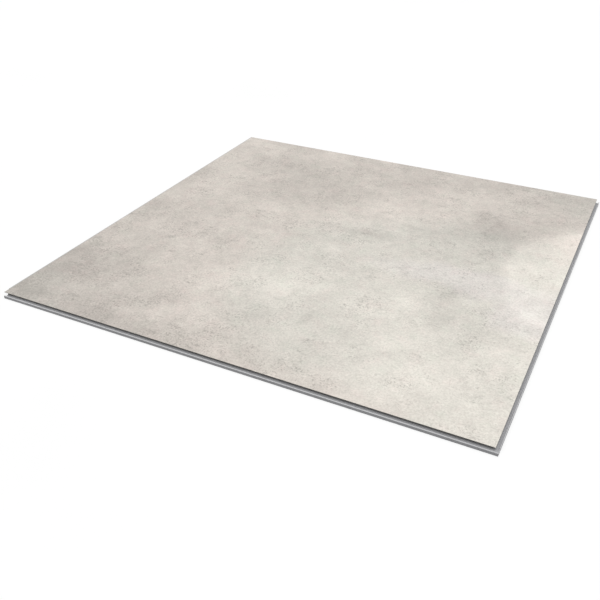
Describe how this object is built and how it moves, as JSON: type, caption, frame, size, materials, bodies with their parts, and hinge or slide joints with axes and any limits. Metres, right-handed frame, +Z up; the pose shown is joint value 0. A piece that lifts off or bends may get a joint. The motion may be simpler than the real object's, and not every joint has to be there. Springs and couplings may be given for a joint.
{
  "type": "vinyl floor tile",
  "caption": "Square rigid vinyl floor tile with a matte concrete-look face, a grey core board and click profiles milled into its edges: grooves with a ridged bottom lip, and matching tongues.",
  "frame": {"origin": "middle of the square face, on the underside that rests on the subfloor", "axes": "+Z up, out of the face; +X along the front grooved edge towards the right grooved edge; +Y towards the back tongued edge"},
  "size_m": [0.6168, 0.618, 0.005],
  "materials": {
    "core": "milled grey filled vinyl, matte",
    "face": "embossed matte, printed in a pale warm concrete look"
  },
  "bodies": {
    "root": {"core_board": "core", "wear_layer": "face"}
  },
  "joints": []
}
